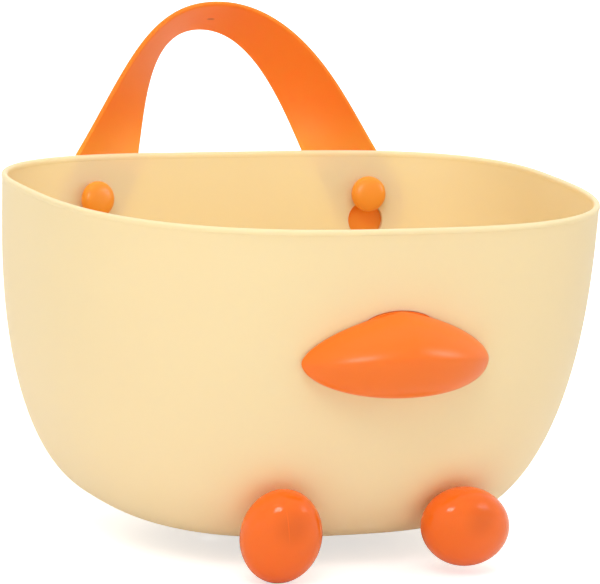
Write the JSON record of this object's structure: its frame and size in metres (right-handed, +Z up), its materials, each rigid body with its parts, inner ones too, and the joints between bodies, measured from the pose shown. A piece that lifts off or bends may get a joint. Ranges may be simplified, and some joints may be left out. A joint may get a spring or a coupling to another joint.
{
  "type": "hanging wall basket",
  "caption": "Deep oval plastic tub with a duck's beak and two feet, hung from a looped rubber strap that holds in keyholes in its back wall.",
  "frame": {"origin": "centre of the overall box, at the level of the lowest foot", "axes": "+Z up, -Y the way the beak faces, +Y towards the wall that it hangs on, +X to the right of someone facing the beak"},
  "size_m": [0.2906, 0.2656, 0.2458],
  "materials": {
    "tub_plastic": "satin cream yellow",
    "strap_rubber": "soft matte orange",
    "stud_plastic": "polished orange",
    "beak_rubber": "smooth orange with a soft sheen",
    "foot_plastic": "polished orange"
  },
  "bodies": {
    "basket": {"tub": "tub_plastic", "beak": "beak_rubber"},
    "handle": {"handle_strap": "strap_rubber", "handle_stud_left": "stud_plastic", "handle_stud_right": "stud_plastic"},
    "left_foot": {"foot_left": "foot_plastic"},
    "right_foot": {"foot_right": "foot_plastic"}
  },
  "joints": [
    {"name": "handle_slide", "type": "slide", "parent": "basket", "child": "handle", "axis": [0, 0, -1], "range_m": [0, 0.0134]},
    {"name": "left_foot_turn", "type": "hinge", "parent": "basket", "child": "left_foot", "pos_m": [-0.04905, -0.09914, 0.02418], "axis": [-0.0819, -0.9361, -0.342], "continuous": true},
    {"name": "right_foot_turn", "type": "hinge", "parent": "basket", "child": "right_foot", "pos_m": [0.04905, -0.09914, 0.02418], "axis": [0.0819, -0.9361, -0.342], "continuous": true}
  ]
}
